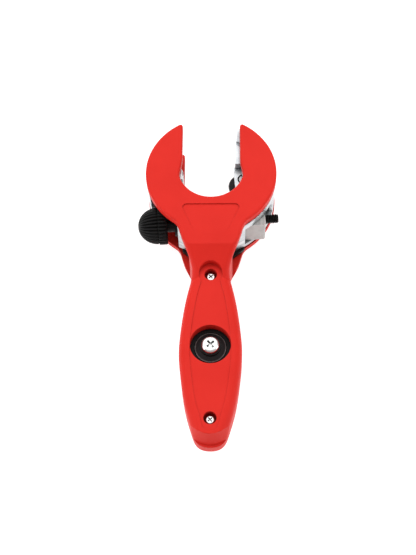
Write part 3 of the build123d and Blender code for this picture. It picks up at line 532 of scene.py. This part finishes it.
def brass(node):
    return turned_metal(f"brass_{node}", node, (0.78, 0.56, 0.25), (0.62, 0.42, 0.17), 0.28)


def bronze(node):
    return turned_metal(f"bronze_{node}", node, (0.66, 0.43, 0.24), (0.50, 0.31, 0.16), 0.32)


def wheel_steel(node):
    """Black oxide cutting wheel: grinding rings, and the sharp rim worn to bare metal."""
    f = Finish(f"wheel_steel_{node}", Metallic=0.4, Specular_IOR_Level=0.2)
    radius = f.distance(middle(node), (1, 1, 0))
    rings = f.waves(radius, 0.22 * MM)
    cloud = f.noise(420, 4.0, 0.65)
    base = f.blend(f.spread(cloud, 0, 1), (0.006, 0.005, 0.006), (0.016, 0.014, 0.014))
    low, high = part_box(node)
    rim = (high.x - low.x) / 2
    bare = f.spread(radius, 0.0, 0.75, rim - 0.7 * MM, rim)
    worn = f.math("MULTIPLY", bare, f.spread(f.noise(700, 3.0), 0.4, 1.0))
    f.colour(f.blend(worn, base, (0.30, 0.29, 0.285)))
    f.roughness(f.spread(cloud, 0.3, 0.48))
    f.bump(f.math("ADD", f.math("MULTIPLY", rings, 0.6), f.noise(2600, 2.0)), 0.012 * MM, 0.12 * MM)
    return f.material


def black_oxide():
    """Black oxide on steel, slightly brown, rubbed to bare metal along crests and edges."""
    f = Finish("black_oxide_steel", Metallic=0.4, Specular_IOR_Level=0.2)
    cloud = f.noise(360, 5.0, 0.65)
    base = f.blend(f.spread(cloud, 0, 1), (0.005, 0.0045, 0.0045), (0.014, 0.013, 0.0125))
    rub = f.math("MULTIPLY", f.edges(0.15 * MM, 0.03, 0.35), f.spread(f.noise(900, 4.0), 0.0, 0.6, 0.4, 0.7))
    f.colour(f.blend(rub, base, (0.17, 0.165, 0.16)))
    f.roughness(f.spread(cloud, 0.36, 0.54))
    f.bump(f.noise(2400, 3.0), 0.016 * MM)
    return f.material


def black_plastic(name, tone, rough):
    """Moulded black plastic: fine grain, dusty patches, slightly polished edges, painted shade in hollows."""
    f = Finish(name, Specular_IOR_Level=0.14)
    cloud = f.noise(180, 4.0)
    dark = tuple(0.62 * c for c in tone)
    base = f.blend(f.spread(cloud, 0, 1), dark, tone)
    dust = f.spread(f.noise(1100, 4.0, 0.7), 0, 0.4, 0.62, 0.8)
    base = f.blend(dust, base, tuple(2.2 * c for c in tone))
    polish = f.math("MULTIPLY", f.edges(0.3 * MM, 0.02, 0.3), 0.4)
    base = f.blend(polish, base, tuple(2.2 * c for c in tone))
    # painted shade: darker still in holes and narrow gaps
    f.colour(f.blend(f.open_air(1.5 * MM, 0.4, 0.9), tuple(0.2 * c for c in tone), base))
    f.roughness(f.math("SUBTRACT", f.spread(cloud, rough, rough + 0.1), f.math("MULTIPLY", polish, 0.2)))
    f.bump(f.math("ADD", f.noise(2800, 3.0), f.cells(1500)), 0.02 * MM, 0.1 * MM)
    return f.material


def nylon():
    """Natural nylon rail: milky, with dirty smears and a fine grain."""
    f = Finish("natural_nylon", Specular_IOR_Level=0.4, Subsurface_Weight=0.15, Subsurface_Scale=0.001)
    cloud = f.noise(220, 4.0)
    base = f.blend(f.spread(cloud, 0, 1), (0.72, 0.70, 0.62), (0.62, 0.59, 0.50))
    smear = f.spread(f.noise(600, 5.0, 0.7), 0, 0.6, 0.55, 0.75)
    f.colour(f.blend(smear, base, (0.35, 0.33, 0.29)))
    f.roughness(f.spread(cloud, 0.38, 0.52))
    f.bump(f.noise(1700, 3.0), 0.02 * MM, 0.15 * MM)
    return f.material


def spring_steel():
    """Drawn wire: straw-coloured patches and a very fine grain."""
    f = Finish("drawn_wire", Metallic=1.0)
    cloud = f.noise(900, 4.0)
    f.colour(f.blend(f.spread(cloud, 0, 1), (0.52, 0.50, 0.46), (0.66, 0.66, 0.65)))
    f.roughness(f.spread(cloud, 0.22, 0.36))
    f.bump(f.noise(5200, 2.0), 0.006 * MM)
    return f.material


def studio_floor():
    """Matte white paper with a barely visible tooth, slightly bright of itself so that shadows stay pale."""
    f = Finish("white_paper", Specular_IOR_Level=0.1, Emission_Color=(1, 1, 1, 1), Emission_Strength=0.8)
    f.colour(f.blend(f.spread(f.noise(60, 3.0), 0, 1), (0.60, 0.60, 0.60), (0.59, 0.59, 0.59)))
    f.roughness(f.spread(f.noise(240, 3.0), 0.75, 0.9))
    f.bump(f.noise(900, 3.0), 0.02 * MM)
    return f.material


def paint(nodes, material):
    """Gives these CAD nodes this material in place of their own."""
    for node in nodes:
        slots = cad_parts[node].data.materials
        slots.clear()
        slots.append(material)


def finish_nodes():
    """Every CAD node gets its finish, and the new pieces take theirs from the nodes that they replace."""
    zinc = bright_zinc()
    paint(("front_shell", "rear_shell"), red_shell())
    paint(("rotor_front_flange", "rotor_rear_flange", "rotor_body", "jaw"), zinc)
    paint(("jaw_nut",), cast_grey())
    paint(("guide_ring_front", "guide_ring_rear"), nylon())
    paint(("pawl_spring",), spring_steel())
    paint(("spare_wheel_cup",), black_plastic("cup_plastic", (0.0045, 0.004, 0.004), 0.42))
    paint(("thrust_plate", "screw_clip", "feed_screw", "rotor_screws", "pawl_left", "pawl_right",
           "wheel_pin_clip", "knob_pin"), black_oxide())
    paint(("knob",), black_plastic("knob_plastic", (0.006, 0.0055, 0.0055), 0.36))
    for node in ("cutter_wheel", "spare_wheel"):
        paint((node,), wheel_steel(node))
    for node in ("roller_upper", "roller_lower", "roller_pins", "wheel_pin", "pawl_pins"):
        paint((node,), machined_steel(node))
    for node in ("handle_screws", "spare_wheel_screw"):
        paint((node,), screw_steel(node))
    for node in ("shell_inserts", "spare_wheel_insert"):
        paint((node,), brass(node))
    paint(("feed_bush",), bronze("feed_bush"))


# ---------------------------------------------------------------- studio

def studio():
    """White paper floor, a bright even surround, one large soft light above and two at the sides."""
    low, high = cad_box
    size = FLOOR_SHARE * (high - low).length
    floor = plane("studio_floor", size, Vector((0, 0, low.z - FLOOR_GAP)))
    floor.data.materials.append(studio_floor())
    world = bpy.data.worlds.new("surround")
    bpy.context.scene.world = world
    world.use_nodes = True
    world.node_tree.nodes["Background"].inputs["Color"].default_value = (1.0, 1.0, 1.0, 1.0)
    world.node_tree.nodes["Background"].inputs["Strength"].default_value = SURROUND_STRENGTH
    for light in LIGHTS:
        soft_light(*light)


def plane(name, size, place):
    """A flat square, size from its middle to its sides."""
    mesh = bmesh.new()
    bmesh.ops.create_grid(mesh, x_segments=1, y_segments=1, size=size)
    data = bpy.data.meshes.new(name)
    mesh.to_mesh(data)
    mesh.free()
    made = bpy.data.objects.new(name, data)
    made.location = place
    bpy.context.scene.collection.objects.link(made)
    return made


def soft_light(name, place, size, power):
    """A square softbox at this place that points at the object's middle."""
    light = bpy.data.lights.new(name, "AREA")
    light.size = size
    light.energy = power
    made = bpy.data.objects.new(name, light)
    low, high = cad_box
    made.location = place
    made.rotation_euler = ((low + high) / 2 - made.location).to_track_quat("-Z", "Y").to_euler()
    bpy.context.scene.collection.objects.link(made)


def camera():
    """Looks down at the front of the tool from beyond its handle."""
    lens = bpy.data.cameras.new("camera")
    lens.lens = CAMERA_LENS
    made = bpy.data.objects.new("camera", lens)
    made.location = CAMERA_PLACE
    turned = Euler((CAMERA_TILT, CAMERA_SWING, 0)).to_matrix() @ Matrix.Rotation(CAMERA_ROLL, 3, "Z")
    made.rotation_euler = turned.to_euler()
    bpy.context.scene.collection.objects.link(made)
    bpy.context.scene.camera = made


finish_nodes()

knob = ribbed_knob()
knob.data.materials.append(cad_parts["knob"].data.materials[0])
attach(knob, "feed_drive")
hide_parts("knob")

screw = threaded_screw()
screw.data.materials.append(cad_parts["feed_screw"].data.materials[0])
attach(screw, "feed_drive")
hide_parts("feed_screw")

spring_low, spring_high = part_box("pawl_spring")
for name, side, pawl, end_x in (
        ("pawl_spring_left", -1, "pawl_left", spring_low.x),
        ("pawl_spring_right", 1, "pawl_right", spring_high.x)):
    # each side gets its half of the coil, from the coil's middle to its end
    coil = half_spring(name, side)
    coil.data.materials.append(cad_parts["pawl_spring"].data.materials[0])
    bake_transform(coil)
    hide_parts("pawl_spring")

studio()
camera()
bpy.context.scene.view_settings.view_transform = "Standard"
